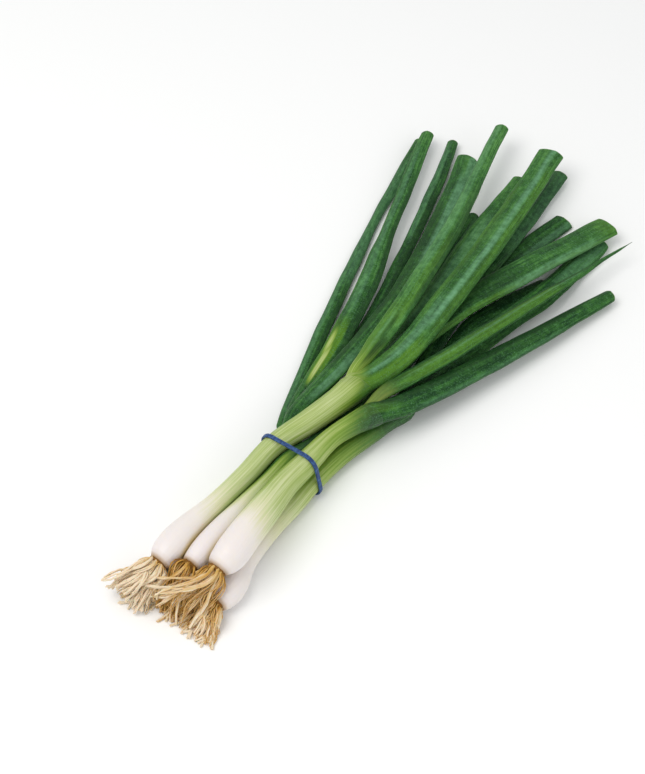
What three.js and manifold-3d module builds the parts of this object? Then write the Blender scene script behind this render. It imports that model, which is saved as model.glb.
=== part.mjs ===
// A bunch of six spring onions held by one rubber band and lying on a flat surface.
// Millimetres, +Z up. The bunch runs along X, from the roots to the leaf tips at +X.
// Every route below is laid out with the band at x = 0 and the surface at z = 0.
import * as THREE from "three";
import { mergeVertices } from "three/addons/utils/BufferGeometryUtils.js";
import Module from "manifold-3d";

const clearance = 0.3; // between neighbouring pieces

// The band: a loop stretched round the stalks, flat where it meets the surface.
const band = { width: 2.4, thickness: 1.2, steps: 64 };

// The roots of one onion: a crown under the base plate, with roots fanning out of it.
const root = {
  crownLength: 3,
  crownTip: 2.6,
  baseRadius: 0.8,
  tipRadius: 0.42,
  steps: 4,
  spread: 0.75,
  sag: 7,
  curl: 5,
  tries: 4000,
  floor: 0.7, // lowest height of a root's middle line
  sunk: 1.2, // from the base plate to where a root starts, inside the crown
  rim: 1.7, // from the crown's rim in to the outermost root
};

const stalkShape = { sides: 14, stations: 17 };
const leafShape = { sides: 10, stations: 11, tip: 5 };

// How a leaf's cut end rounds off: share of the tip left, and share of the full size there.
const tipRounding = [
  [0.3, 0.88],
  [0.05, 0.6],
];

// Each onion: its stalk as rows of x, y, z and radius, from the base plate to the mouth of
// the sheath; its leaves as rows of x, y, z, width, thickness and roll in degrees, from
// inside the sheath to the cut tip; and the roots' number, length and lean.
const onions = {
  a: {
    stalk: [
      [-92, 11.3, 19.6, 5],
      [-89, 11.2, 20.1, 7],
      [-84, 11.4, 20.8, 8.1],
      [-76, 11.9, 21.4, 8],
      [-66, 12, 21.5, 6.9],
      [-48, 11, 21, 5.6],
      [-24, 11, 20, 5.6],
      [0, 11.6, 20, 5.9],
      [24, 6.6, 20, 6.8],
      [44, 2.6, 21, 7.3],
      [58, 0.8, 21, 8.1],
    ],
    leaves: [
      [
        [44, 4, 21, 4, 3, 0],
        [54, 4.6, 22, 5.6, 4.6, 0],
        [66, 7.2, 22.8, 7.6, 5.4, 0],
        [78, 8.6, 22.8, 9, 5.3, 0],
        [90, 10.4, 22.6, 11, 5, 0],
        [126, 16, 22, 12, 5, 0],
        [160, 23, 21, 12, 5, 0],
        [196, 31, 20, 10.6, 5, 0],
        [228, 40.8, 19, 9.4, 4, 0],
        [280, 55.8, 18, 8.3, 4, 0],
      ],
      [
        [46, 2.4, 21, 8, 8, 0],
        [56, 1, 21, 13.2, 12, 0],
        [62, -0.4, 21, 14.4, 12, 0],
        [72, -3, 21, 15.2, 10.4, 0],
        [84, -4.6, 21, 15.6, 8.6, 0],
        [98, -5.1, 21, 15.7, 7.2, 0],
        [142, -1.6, 22, 16, 6, 0],
        [190, 3.6, 22, 16, 6, 0],
        [223, 8.6, 21, 15.5, 6, 0],
        [277, 18, 20, 15.5, 5, 0],
      ],
      [
        [10, 13, 19, 4, 3, 0],
        [26, 17.6, 18, 7.8, 4, 0],
        [54, 19.4, 15, 10.2, 4, 0],
        [98, 22.5, 13, 11, 4, 0],
        [148, 30, 11, 12, 4, 0],
        [214, 48.4, 9, 12.6, 4, 0],
        [254, 62.4, 8, 12.6, 4, 0],
      ],
    ],
    roots: { count: 17, shortest: 15, longest: 23, lean: [0, 0.2, -0.2] },
  },
  b: {
    stalk: [
      [-84, -3, 20.5, 5],
      [-81, -3, 20.8, 5.9],
      [-73, -2.7, 21.4, 6.7],
      [-60, -1.5, 21, 6.2],
      [-40, 0, 18.5, 5.2],
      [-18, 1, 16.5, 4.6],
      [0, 1.5, 16.4, 4.4],
      [12, -0.3, 14.7, 4],
      [24, -2.2, 13.2, 3.9],
      [30, -2.4, 12, 4],
      [44, -1, 9.2, 4.3],
    ],
    leaves: [
      [
        [36, -1, 11.6, 4, 3, 0],
        [54, 0, 10.7, 8, 3.6, 0],
        [97, -0.6, 15, 15, 4, 0],
        [147, -7, 14, 17, 5, 0],
        [190, -18.2, 12, 17.4, 5, 0],
        [235, -31.2, 10, 16.6, 5, 0],
        [255.4, -37.3, 9, 15.6, 4, 0],
      ],
      [
        [36, 1, 10, 3, 3, 0],
        [54, 5, 7, 8, 3, 0],
        [93, 8, 8, 12, 4, 0],
        [140, 11, 10, 13, 4, 0],
        [195, 19, 10, 13, 4, 0],
        [257, 25, 9, 11, 4, 0],
      ],
      [
        [36, -2, 10, 3, 3, 0],
        [60, -6, 6, 8, 3, 0],
        [100, -2, 6, 10, 4, 0],
        [167, -0.6, 8, 11, 4, 0],
        [219, 4, 6, 11, 4, 0],
        [279, 11.4, 5, 10.6, 4, 0],
      ],
    ],
    roots: { count: 14, shortest: 15, longest: 24, lean: [0, 0, -0.7] },
  },
  c: {
    stalk: [
      [-80, -17, 25, 5.4],
      [-77, -17, 25.7, 7.2],
      [-70, -17.4, 26.8, 8.8],
      [-56, -15.6, 27, 8.7],
      [-38, -13, 25, 8.2],
      [-18, -10, 22.5, 7.2],
      [0, -9.4, 20.6, 6.6],
      [22, -9.4, 20, 5.5],
      [36, -12.6, 20, 5.9],
      [48, -17, 20, 6.8],
    ],
    leaves: [
      [
        [36, -13, 21, 4, 4, 0],
        [50, -13.2, 22, 5.6, 4.2, 0],
        [60, -13.3, 21.8, 7.4, 4.4, 0],
        [68, -14.3, 21, 8.6, 4.8, 0],
        [77, -16.3, 20, 9.6, 5, 0],
        [113, -25.8, 19, 9.6, 4, 0],
        [158, -35.6, 17, 8.6, 4, 0],
        [204, -46, 14, 4.6, 3, 0],
        [223, -50, 13, 2.6, 1.8, 0],
        [249, -56, 12, 1, 1, 0],
      ],
      [
        [38, -15.4, 20, 8, 8, 0],
        [48, -17.6, 19.8, 12, 12, 0],
        [54, -19.8, 19.2, 13, 10.6, 0],
        [66, -25, 17, 14, 8, 0],
        [108, -38, 13, 14, 7, 0],
        [162, -53, 9, 12, 6, 0],
        [212, -66, 5, 8, 5, 0],
      ],
    ],
    roots: { count: 17, shortest: 19, longest: 30, lean: [0.1, 0.55, -0.7] },
  },
  d: {
    stalk: [
      [-88, -22, 8, 4.6],
      [-84, -21.8, 7.8, 6.8],
      [-75, -21.2, 7.8, 7.8],
      [-60, -17.2, 7.8, 6.2],
      [-38, -15, 7.6, 5.3],
      [-16, -14, 7.4, 5.7],
      [0, -12.9, 7.3, 5.8],
      [24, -14, 7.2, 5.6],
      [46, -18.4, 7, 5.1],
      [58, -20.8, 6.6, 4.6],
      [70, -24, 6.2, 4.5],
    ],
    leaves: [
      [
        [60, -22, 8, 5, 4, 0],
        [76, -23, 8, 9, 4, 0],
        [103, -24, 7, 13, 4, 0],
        [136, -27.6, 6, 14, 4, 0],
        [160, -30.6, 5.4, 14, 4, 0],
        [186, -35.2, 5, 15, 4, 0],
        [232, -38.2, 4.2, 13.4, 4, 0],
        [245.6, -38.6, 4, 10.8, 4, 0],
      ],
      [
        [60, -23.4, 5.2, 4, 3, 0],
        [80, -21.6, 3.4, 6.6, 3, 0],
        [100, -19.5, 2.4, 6, 2.8, 0],
        [118, -17.1, 2, 8.6, 2.8, 0],
        [146, -14.9, 1.8, 11.8, 2.8, 0],
        [174, -22.2, 1.5, 12.6, 2.4, 0],
        [200, -31, 1.5, 11, 2.4, 0],
      ],
      [
        [52, -18, 5, 4, 3, 0],
        [70, -17, 3, 7, 3, 0],
        [100, -12, 3, 9.2, 3, 0],
        [140, -3.1, 3, 11.3, 3, 0],
        [182, -2.4, 3, 13.8, 3, 0],
        [225, -7, 2, 13.5, 3, 0],
        [250, -11, 1.6, 13, 3, 0],
      ],
    ],
    roots: { count: 17, shortest: 14, longest: 22, lean: [0, -0.02, -0.3] },
  },
  e: {
    stalk: [
      [-88, 17.6, 6.8, 4.2],
      [-84, 17, 6.8, 5.8],
      [-76, 17, 6.7, 6.7],
      [-60, 15, 6.9, 6],
      [-30, 11, 6.9, 5.4],
      [0, 10, 6.9, 5.4],
      [18, 13, 6.9, 5.4],
    ],
    leaves: [
      [
        [6, 11, 8, 4, 4, 0],
        [28, 21, 9, 9, 5, 0],
        [52, 27, 9, 11, 5, 0],
        [80, 33, 9, 12, 5, 0],
        [124, 45.2, 9, 12.8, 5, 0],
        [150, 54.6, 9, 11.6, 5, 0],
        [171, 62.5, 9, 8.6, 5, 0],
        [192, 70.4, 9, 8.8, 4.6, 0],
        [213, 78, 9, 9, 4, 0],
        [256, 94, 9, 8, 4, 0],
      ],
      [
        [4, 13, 7, 5, 5, 0],
        [20, 22, 6, 7, 4, 0],
        [47, 33, 4, 8, 4, 0],
        [99, 52, 3, 8.2, 4, 0],
        [145, 67.2, 2.5, 7.6, 4, 0],
        [176, 77.2, 2.3, 5.6, 3.6, 0],
        [214, 87.4, 2.1, 7, 3.6, 0],
        [255, 98, 1.6, 7, 3, 0],
      ],
    ],
    roots: { count: 12, shortest: 14, longest: 22, lean: [0, 0.1, -0.1] },
  },
  f: {
    stalk: [
      [-86, -4, 6.9, 4.2],
      [-82, -4, 6.9, 5.8],
      [-74, -4, 6.7, 6.7],
      [-58, -3, 6.8, 6],
      [-28, -1.5, 6.7, 5.2],
      [0, -1.2, 6.7, 5.2],
      [18, 0, 5.4, 4.2],
      [30, 5, 5, 4.1],
      [40, 10, 5, 4.3],
    ],
    leaves: [
      [
        [32, 7, 6, 4, 3, 0],
        [60, 20, 5, 6, 3, 0],
        [87, 27, 4, 7, 3, 0],
        [129, 36.4, 4, 8, 4, 0],
        [179, 51, 4, 8, 4, 0],
        [229, 67, 4, 8, 4, 0],
        [264, 80, 4, 6.6, 3, 0],
      ],
      [
        [32, 5, 4, 4, 3, 0],
        [60, 13, 3, 7, 3, 0],
        [100, 16, 3, 8, 3, 0],
        [143, 19, 3, 8, 3, 0],
        [186, 28, 3, 8, 3, 0],
        [220, 34, 3, 7, 3, 0],
      ],
    ],
    roots: { count: 13, shortest: 14, longest: 24, lean: [0, 0, -0.1] },
  },
};

const colours = {
  stalk: { color: "#cfd9a6", roughness: 0.45, metalness: 0 },
  leaf: { color: "#3f7a3a", roughness: 0.5, metalness: 0 },
  roots: { color: "#cdb37c", roughness: 0.85, metalness: 0 },
  band: { color: "#2f4690", roughness: 0.6, metalness: 0 },
};

const wasm = await Module();
wasm.setup();

// A seeded draw between 0 and 1, so that the roots fall the same way each time.
function seededDraw(seed) {
  let state = seed;
  return () => {
    state = (Math.imul(state, 1664525) + 1013904223) >>> 0;
    return state / 2 ** 32;
  };
}

// A closed geometry as a solid.
function solidOf(geometry) {
  const bare = geometry.clone();
  bare.deleteAttribute("normal");
  bare.deleteAttribute("uv");
  const merged = mergeVertices(bare, 1e-4);
  return new wasm.Manifold(
    new wasm.Mesh({
      numProp: 3,
      vertProperties: merged.attributes.position.array,
      triVerts: new Uint32Array(merged.index.array),
    }),
  );
}

// A solid as a geometry that a mesh can carry.
function geometryOf(solid) {
  const made = solid.getMesh();
  const geometry = new THREE.BufferGeometry();
  const positions = new THREE.BufferAttribute(new Float32Array(made.vertProperties), 3);
  geometry.setAttribute("position", positions);
  geometry.setIndex(new THREE.BufferAttribute(new Uint32Array(made.triVerts), 1));
  geometry.computeVertexNormals();
  return geometry;
}

// Distances along the rows of a route, from its first row.
function distances(rows) {
  const sums = [0];
  for (let i = 1; i < rows.length; i++) {
    const [ax, ay, az] = rows[i - 1];
    const [bx, by, bz] = rows[i];
    sums.push(sums[i - 1] + Math.hypot(bx - ax, by - ay, bz - az));
  }
  return sums;
}

// The smooth row at distance d: every column is a cubic through the rows.
function rowAt(rows, sums, d) {
  const last = rows.length - 1;
  let i = 0;
  while (i < last - 1 && sums[i + 1] < d) i++;
  const span = sums[i + 1] - sums[i];
  const t = (d - sums[i]) / span;
  const slope = (k, column) => {
    const from = Math.max(0, k - 1);
    const to = Math.min(last, k + 1);
    return (rows[to][column] - rows[from][column]) / (sums[to] - sums[from]);
  };
  return rows[0].map((_, column) => {
    const a = rows[i][column];
    const b = rows[i + 1][column];
    const rise = slope(i, column) * span;
    const fall = slope(i + 1, column) * span;
    return (
      a * (2 * t ** 3 - 3 * t ** 2 + 1) +
      rise * (t ** 3 - 2 * t ** 2 + t) +
      b * (3 * t ** 2 - 2 * t ** 3) +
      fall * (t ** 3 - t ** 2)
    );
  });
}

// Width and thickness axes across a route that heads along `ahead`, rolled by `degrees`.
function acrossAxes(ahead, degrees) {
  const side = new THREE.Vector3(0, 0, 1).cross(ahead).normalize();
  const up = ahead.clone().cross(side);
  const angle = THREE.MathUtils.degToRad(degrees);
  side.applyAxisAngle(ahead, angle);
  up.applyAxisAngle(ahead, angle);
  return [side, up];
}

// A closed skin over rings of points, each ring listed anticlockwise seen from ahead.
function skin(rings) {
  const sides = rings[0].length;
  const points = rings.flat();
  const index = [];
  for (let r = 0; r < rings.length - 1; r++) {
    for (let k = 0; k < sides; k++) {
      const a = r * sides + k;
      const b = r * sides + ((k + 1) % sides);
      index.push(a, b, b + sides, a, b + sides, a + sides);
    }
  }
  const end = (rings.length - 1) * sides;
  for (let k = 1; k < sides - 1; k++) {
    index.push(0, k + 1, k, end, end + k, end + k + 1);
  }
  const geometry = new THREE.BufferGeometry().setFromPoints(points);
  geometry.setIndex(index);
  return geometry;
}

// A round or oval body swept along rows of x, y, z, width, thickness and roll. `tip` is the
// length over which its far end rounds off, and `grow` makes it bigger all over.
function sweep(rows, shape, grow = 0) {
  const sums = distances(rows);
  const total = sums.at(-1);
  const tip = shape.tip ?? 0;
  const steps = [];
  for (let i = 0; i < shape.stations; i++) {
    steps.push([((total - tip) * i) / (shape.stations - 1), 1]);
  }
  if (tip) tipRounding.forEach(([left, size]) => steps.push([total - tip * left, size]));
  const rings = steps.map(([d, scale]) => {
    const [x, y, z, width, thickness, roll] = rowAt(rows, sums, d);
    const near = rowAt(rows, sums, Math.max(0, d - 0.5));
    const far = rowAt(rows, sums, Math.min(total, d + 0.5));
    const ahead = new THREE.Vector3(far[0] - near[0], far[1] - near[1], far[2] - near[2]);
    const [side, up] = acrossAxes(ahead.normalize(), roll);
    const centre = new THREE.Vector3(x, y, z);
    if (d === 0) centre.addScaledVector(ahead, -grow);
    if (d > total - tip) centre.addScaledVector(ahead, grow);
    const halfWidth = (width / 2) * scale + grow;
    const halfThickness = (thickness / 2) * scale + grow;
    return ring(centre, side, up, halfWidth, halfThickness, shape.sides);
  });
  return skin(rings);
}

// One oval ring of points.
function ring(centre, side, up, halfWidth, halfThickness, sides) {
  return Array.from({ length: sides }, (_, k) => {
    const angle = (2 * Math.PI * k) / sides;
    return centre
      .clone()
      .addScaledVector(side, halfWidth * Math.cos(angle))
      .addScaledVector(up, halfThickness * Math.sin(angle));
  });
}

const roundRows = (rows) => rows.map(([x, y, z, r]) => [x, y, z, 2 * r, 2 * r, 0]);

// The stalk, hollowed where its leaves come out of it.
function makeStalk(onion) {
  let solid = solidOf(sweep(roundRows(onion.stalk), stalkShape));
  for (const rows of onion.leaves) {
    solid = solid.subtract(solidOf(sweep(rows, leafShape, clearance)));
  }
  return largest(solid);
}

// Each leaf, wrapped round the ones that stand before it in the same sheath.
function makeLeaf(onion, number) {
  let solid = solidOf(sweep(onion.leaves[number], leafShape));
  for (const rows of onion.leaves.slice(0, number)) {
    solid = solid.subtract(solidOf(sweep(rows, leafShape, clearance)));
  }
  return largest(solid);
}

// A cut can free a crumb from its body, and crossing roots can seal a hollow: only the
// outer skin of the body is kept.
function largest(solid) {
  return solid.decompose().sort((p, q) => q.volume() - p.volume())[0];
}

// The direction that the roots point in, and the axes across it.
function rootAxes(onion) {
  const [near, far] = onion.stalk.map(([x, y, z]) => new THREE.Vector3(x, y, z));
  const back = near.clone().sub(far).normalize();
  const side = new THREE.Vector3(0, 0, 1).cross(back).normalize();
  return { base: near, back, side, up: back.clone().cross(side) };
}

function crownRows(onion) {
  const { base, back } = rootAxes(onion);
  const plate = onion.stalk[0][3];
  const start = base.clone().addScaledVector(back, clearance);
  const end = start.clone().addScaledVector(back, root.crownLength);
  return [
    [start.x, start.y, start.z, 2 * plate - 0.6, 2 * plate - 0.6, 0],
    [end.x, end.y, end.z, 2 * root.crownTip, 2 * root.crownTip, 0],
  ];
}

// One root's points, from inside the crown outwards: it leaves the plate, curls and sags.
function rootPoints(onion, draw) {
  const { base, back, side, up } = rootAxes(onion);
  const { shortest, longest, lean } = onion.roots;
  const angle = 2 * Math.PI * draw();
  const reach = Math.sqrt(draw());
  const out = side.clone().multiplyScalar(Math.cos(angle));
  out.addScaledVector(up, Math.sin(angle));
  const offset = reach * (onion.stalk[0][3] - root.rim);
  const start = base.clone().addScaledVector(back, root.sunk).addScaledVector(out, offset);
  const heading = back.clone().addScaledVector(out, root.spread * reach);
  const length = shortest + (longest - shortest) * draw();
  const bend = new THREE.Vector3(...lean).multiplyScalar(length);
  const curl = side.clone().multiplyScalar((draw() - 0.5) * root.curl);
  curl.addScaledVector(up, (draw() - 0.5) * root.curl);
  heading.normalize();
  return Array.from({ length: root.steps + 1 }, (_, i) => {
    const t = i / root.steps;
    const point = start.clone().addScaledVector(heading, length * t);
    point.addScaledVector(bend, t * t);
    point.addScaledVector(curl, Math.sin(2 * Math.PI * t));
    point.z -= root.sag * t * t;
    if (point.z < root.floor) point.z = root.floor;
    return point;
  });
}

// Points along a polyline, close enough together to test its distance to others.
function dense(points) {
  const found = [];
  for (let i = 0; i < points.length - 1; i++) {
    for (let k = 0; k < 6; k++) {
      found.push(points[i].clone().lerp(points[i + 1], k / 6));
    }
  }
  found.push(points.at(-1));
  return found;
}

// True where a root keeps off every stalk and every root of the other onions.
function runsClear(name, points, taken) {
  const reach = root.baseRadius + clearance;
  return dense(points).every((p, i) => {
    const offStalks = stalkBalls.every(
      (ball) => (ball.name === name && i < 6) || p.distanceTo(ball.centre) > ball.radius + reach,
    );
    const offRoots = taken.every(
      (other) => other.name === name || p.distanceTo(other.point) > reach + root.baseRadius,
    );
    return offStalks && offRoots;
  });
}

// The stalks near the roots and every crown, as balls that a root must miss.
const stalkBalls = Object.entries(onions).flatMap(([name, { stalk }]) => {
  const sums = distances(stalk);
  const balls = [];
  for (let d = 0; d < 60; d += 2) {
    const [x, y, z, radius] = rowAt(stalk, sums, d);
    balls.push({ name, centre: new THREE.Vector3(x, y, z), radius });
  }
  const { base, back } = rootAxes(onions[name]);
  const middle = base.addScaledVector(back, 1.5);
  balls.push({ name, centre: middle, radius: stalk[0][3] });
  return balls;
});

// A slim three-sided root through its points.
function rootSolid(points) {
  const rings = points.map((point, i) => {
    const from = points[Math.max(0, i - 1)];
    const to = points[Math.min(points.length - 1, i + 1)];
    const ahead = to.clone().sub(from).normalize();
    const [side, up] = acrossAxes(ahead, 0);
    const t = i / (points.length - 1);
    const radius = root.baseRadius + (root.tipRadius - root.baseRadius) * t;
    return ring(point, side, up, radius, radius, 3);
  });
  return solidOf(skin(rings));
}

// The roots of every onion, each onion's fused with its crown into one solid.
function makeRoots() {
  const taken = [];
  const solids = {};
  Object.entries(onions).forEach(([name, onion], order) => {
    const draw = seededDraw(11 + order);
    solids[name] = solidOf(sweep(crownRows(onion), { sides: 9, stations: 2 }));
    for (let made = 0, tried = 0; made < onion.roots.count && tried < root.tries; tried++) {
      const points = rootPoints(onion, draw);
      if (!runsClear(name, points, taken)) continue;
      made++;
      dense(points).forEach((point) => taken.push({ name, point }));
      solids[name] = solids[name].add(rootSolid(points));
    }
    solids[name] = largest(solids[name]);
  });
  return solids;
}

// The band's outline at a distance outside the stalks, seen along X, as points of Y and Z.
function bandOutline(distance) {
  const discs = Object.values(onions).map(({ stalk }) => {
    const sums = distances(stalk);
    const here = stalk.findIndex(([x]) => x === 0);
    const [, y, z, radius] = rowAt(stalk, sums, sums[here]);
    return { y, z, reach: radius + distance };
  });
  return Array.from({ length: band.steps }, (_, i) => {
    const angle = (2 * Math.PI * i) / band.steps;
    const [cos, sin] = [Math.cos(angle), Math.sin(angle)];
    const farthest = (disc) => disc.y * cos + disc.z * sin + disc.reach;
    const outer = discs.reduce((p, q) => (farthest(q) > farthest(p) ? q : p));
    return new THREE.Vector2(outer.y + outer.reach * cos, outer.z + outer.reach * sin);
  });
}

// The loop is drawn in Y and Z, then turned so that its width runs along X.
function makeBand() {
  const shape = new THREE.Shape(bandOutline(clearance + band.thickness));
  shape.holes.push(new THREE.Path(bandOutline(clearance)));
  const geometry = new THREE.ExtrudeGeometry(shape, { depth: band.width, bevelEnabled: false });
  const turn = new THREE.Matrix4().makeBasis(
    new THREE.Vector3(0, 1, 0),
    new THREE.Vector3(0, 0, 1),
    new THREE.Vector3(1, 0, 0),
  );
  geometry.applyMatrix4(turn);
  geometry.translate(-band.width / 2, 0, 0);
  return solidOf(geometry);
}

function addMesh(group, name, solid, colour) {
  const mesh = new THREE.Mesh(geometryOf(solid), new THREE.MeshStandardMaterial(colour));
  mesh.name = name;
  group.add(mesh);
}

const bunch = new THREE.Group();
bunch.name = "spring_onion_bunch";
addMesh(bunch, "rubber_band", makeBand(), colours.band);
const roots = makeRoots();
for (const [name, onion] of Object.entries(onions)) {
  addMesh(bunch, `stalk_${name}`, makeStalk(onion), colours.stalk);
  addMesh(bunch, `roots_${name}`, roots[name], colours.roots);
  onion.leaves.forEach((_, number) => {
    addMesh(bunch, `leaf_${name}${number + 1}`, makeLeaf(onion, number), colours.leaf);
  });
}

// The origin of the finished part is the middle of its footprint.
const footprint = new THREE.Box3().setFromObject(bunch).getCenter(new THREE.Vector3());
bunch.position.set(-footprint.x, -footprint.y, 0);

export default bunch;
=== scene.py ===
import math

import bpy
import numpy as np
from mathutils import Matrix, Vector


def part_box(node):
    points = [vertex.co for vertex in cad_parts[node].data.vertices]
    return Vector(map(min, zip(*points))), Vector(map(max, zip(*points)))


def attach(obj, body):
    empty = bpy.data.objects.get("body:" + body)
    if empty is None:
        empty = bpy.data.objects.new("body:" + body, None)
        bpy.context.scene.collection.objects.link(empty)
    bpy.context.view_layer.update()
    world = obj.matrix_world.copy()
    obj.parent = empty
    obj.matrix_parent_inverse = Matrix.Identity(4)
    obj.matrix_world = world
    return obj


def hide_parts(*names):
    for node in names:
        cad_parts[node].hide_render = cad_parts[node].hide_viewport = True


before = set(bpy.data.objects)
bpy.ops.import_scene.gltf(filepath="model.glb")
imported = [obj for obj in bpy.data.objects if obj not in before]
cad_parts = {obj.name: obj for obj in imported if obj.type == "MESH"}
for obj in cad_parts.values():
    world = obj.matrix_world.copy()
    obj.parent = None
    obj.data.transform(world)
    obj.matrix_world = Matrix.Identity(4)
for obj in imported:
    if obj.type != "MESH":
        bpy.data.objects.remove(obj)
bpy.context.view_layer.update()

mm = 0.001
clearance = 0.3  # mm between neighbouring pieces in the solids

# Routes are in millimetres, laid out with the band at x = 0 and the table at z = 0.
# stalk: x, y, z, radius
onions = {
    "a": {"stalk": [
        [-92, 11.3, 19.6, 5], [-89, 11.2, 20.1, 7], [-84, 11.4, 20.8, 8.1], [-76, 11.9, 21.4, 8],
        [-66, 12, 21.5, 6.9], [-48, 11, 21, 5.6], [-24, 11, 20, 5.6], [0, 11.6, 20, 5.9],
        [24, 6.6, 20, 6.8], [44, 2.6, 21, 7.3], [58, 0.8, 21, 8.1],
    ], "roots": {"count": 17, "lengths": [15, 23], "lean": [0, 0.2, -0.2]}},
    "b": {"stalk": [
        [-84, -3, 20.5, 5], [-81, -3, 20.8, 5.9], [-73, -2.7, 21.4, 6.7], [-60, -1.5, 21, 6.2],
        [-40, 0, 18.5, 5.2], [-18, 1, 16.5, 4.6], [0, 1.5, 16.4, 4.4], [12, -0.3, 14.7, 4],
        [24, -2.2, 13.2, 3.9], [30, -2.4, 12, 4], [44, -1, 9.2, 4.3],
    ], "roots": {"count": 14, "lengths": [15, 24], "lean": [0, 0, -0.7]}},
    "c": {"stalk": [
        [-80, -17, 25, 5.4], [-77, -17, 25.7, 7.2], [-70, -17.4, 26.8, 8.8], [-56, -15.6, 27, 8.7],
        [-38, -13, 25, 8.2], [-18, -10, 22.5, 7.2], [0, -9.4, 20.6, 6.6], [22, -9.4, 20, 5.5],
        [36, -12.6, 20, 5.9], [48, -17, 20, 6.8],
    ], "roots": {"count": 17, "lengths": [19, 30], "lean": [0.1, 0.55, -0.7]}},
    "d": {"stalk": [
        [-88, -22, 8, 4.6], [-84, -21.8, 7.8, 6.8], [-75, -21.2, 7.8, 7.8], [-60, -17.2, 7.8, 6.2],
        [-38, -15, 7.6, 5.3], [-16, -14, 7.4, 5.7], [0, -12.9, 7.3, 5.8], [24, -14, 7.2, 5.6],
        [46, -18.4, 7, 5.1], [58, -20.8, 6.6, 4.6], [70, -24, 6.2, 4.5],
    ], "roots": {"count": 17, "lengths": [14, 22], "lean": [0, -0.02, -0.3]}},
    "e": {"stalk": [
        [-88, 17.6, 6.8, 4.2], [-84, 17, 6.8, 5.8], [-76, 17, 6.7, 6.7], [-60, 15, 6.9, 6],
        [-30, 11, 6.9, 5.4], [0, 10, 6.9, 5.4], [18, 13, 6.9, 5.4],
    ], "roots": {"count": 12, "lengths": [14, 22], "lean": [0, 0.1, -0.1]}},
    "f": {"stalk": [
        [-86, -4, 6.9, 4.2], [-82, -4, 6.9, 5.8], [-74, -4, 6.7, 6.7], [-58, -3, 6.8, 6],
        [-28, -1.5, 6.7, 5.2], [0, -1.2, 6.7, 5.2], [18, 0, 5.4, 4.2], [30, 5, 5, 4.1], [40, 10, 5, 4.3],
    ], "roots": {"count": 13, "lengths": [14, 24], "lean": [0, 0, -0.1]}},
}

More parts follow.
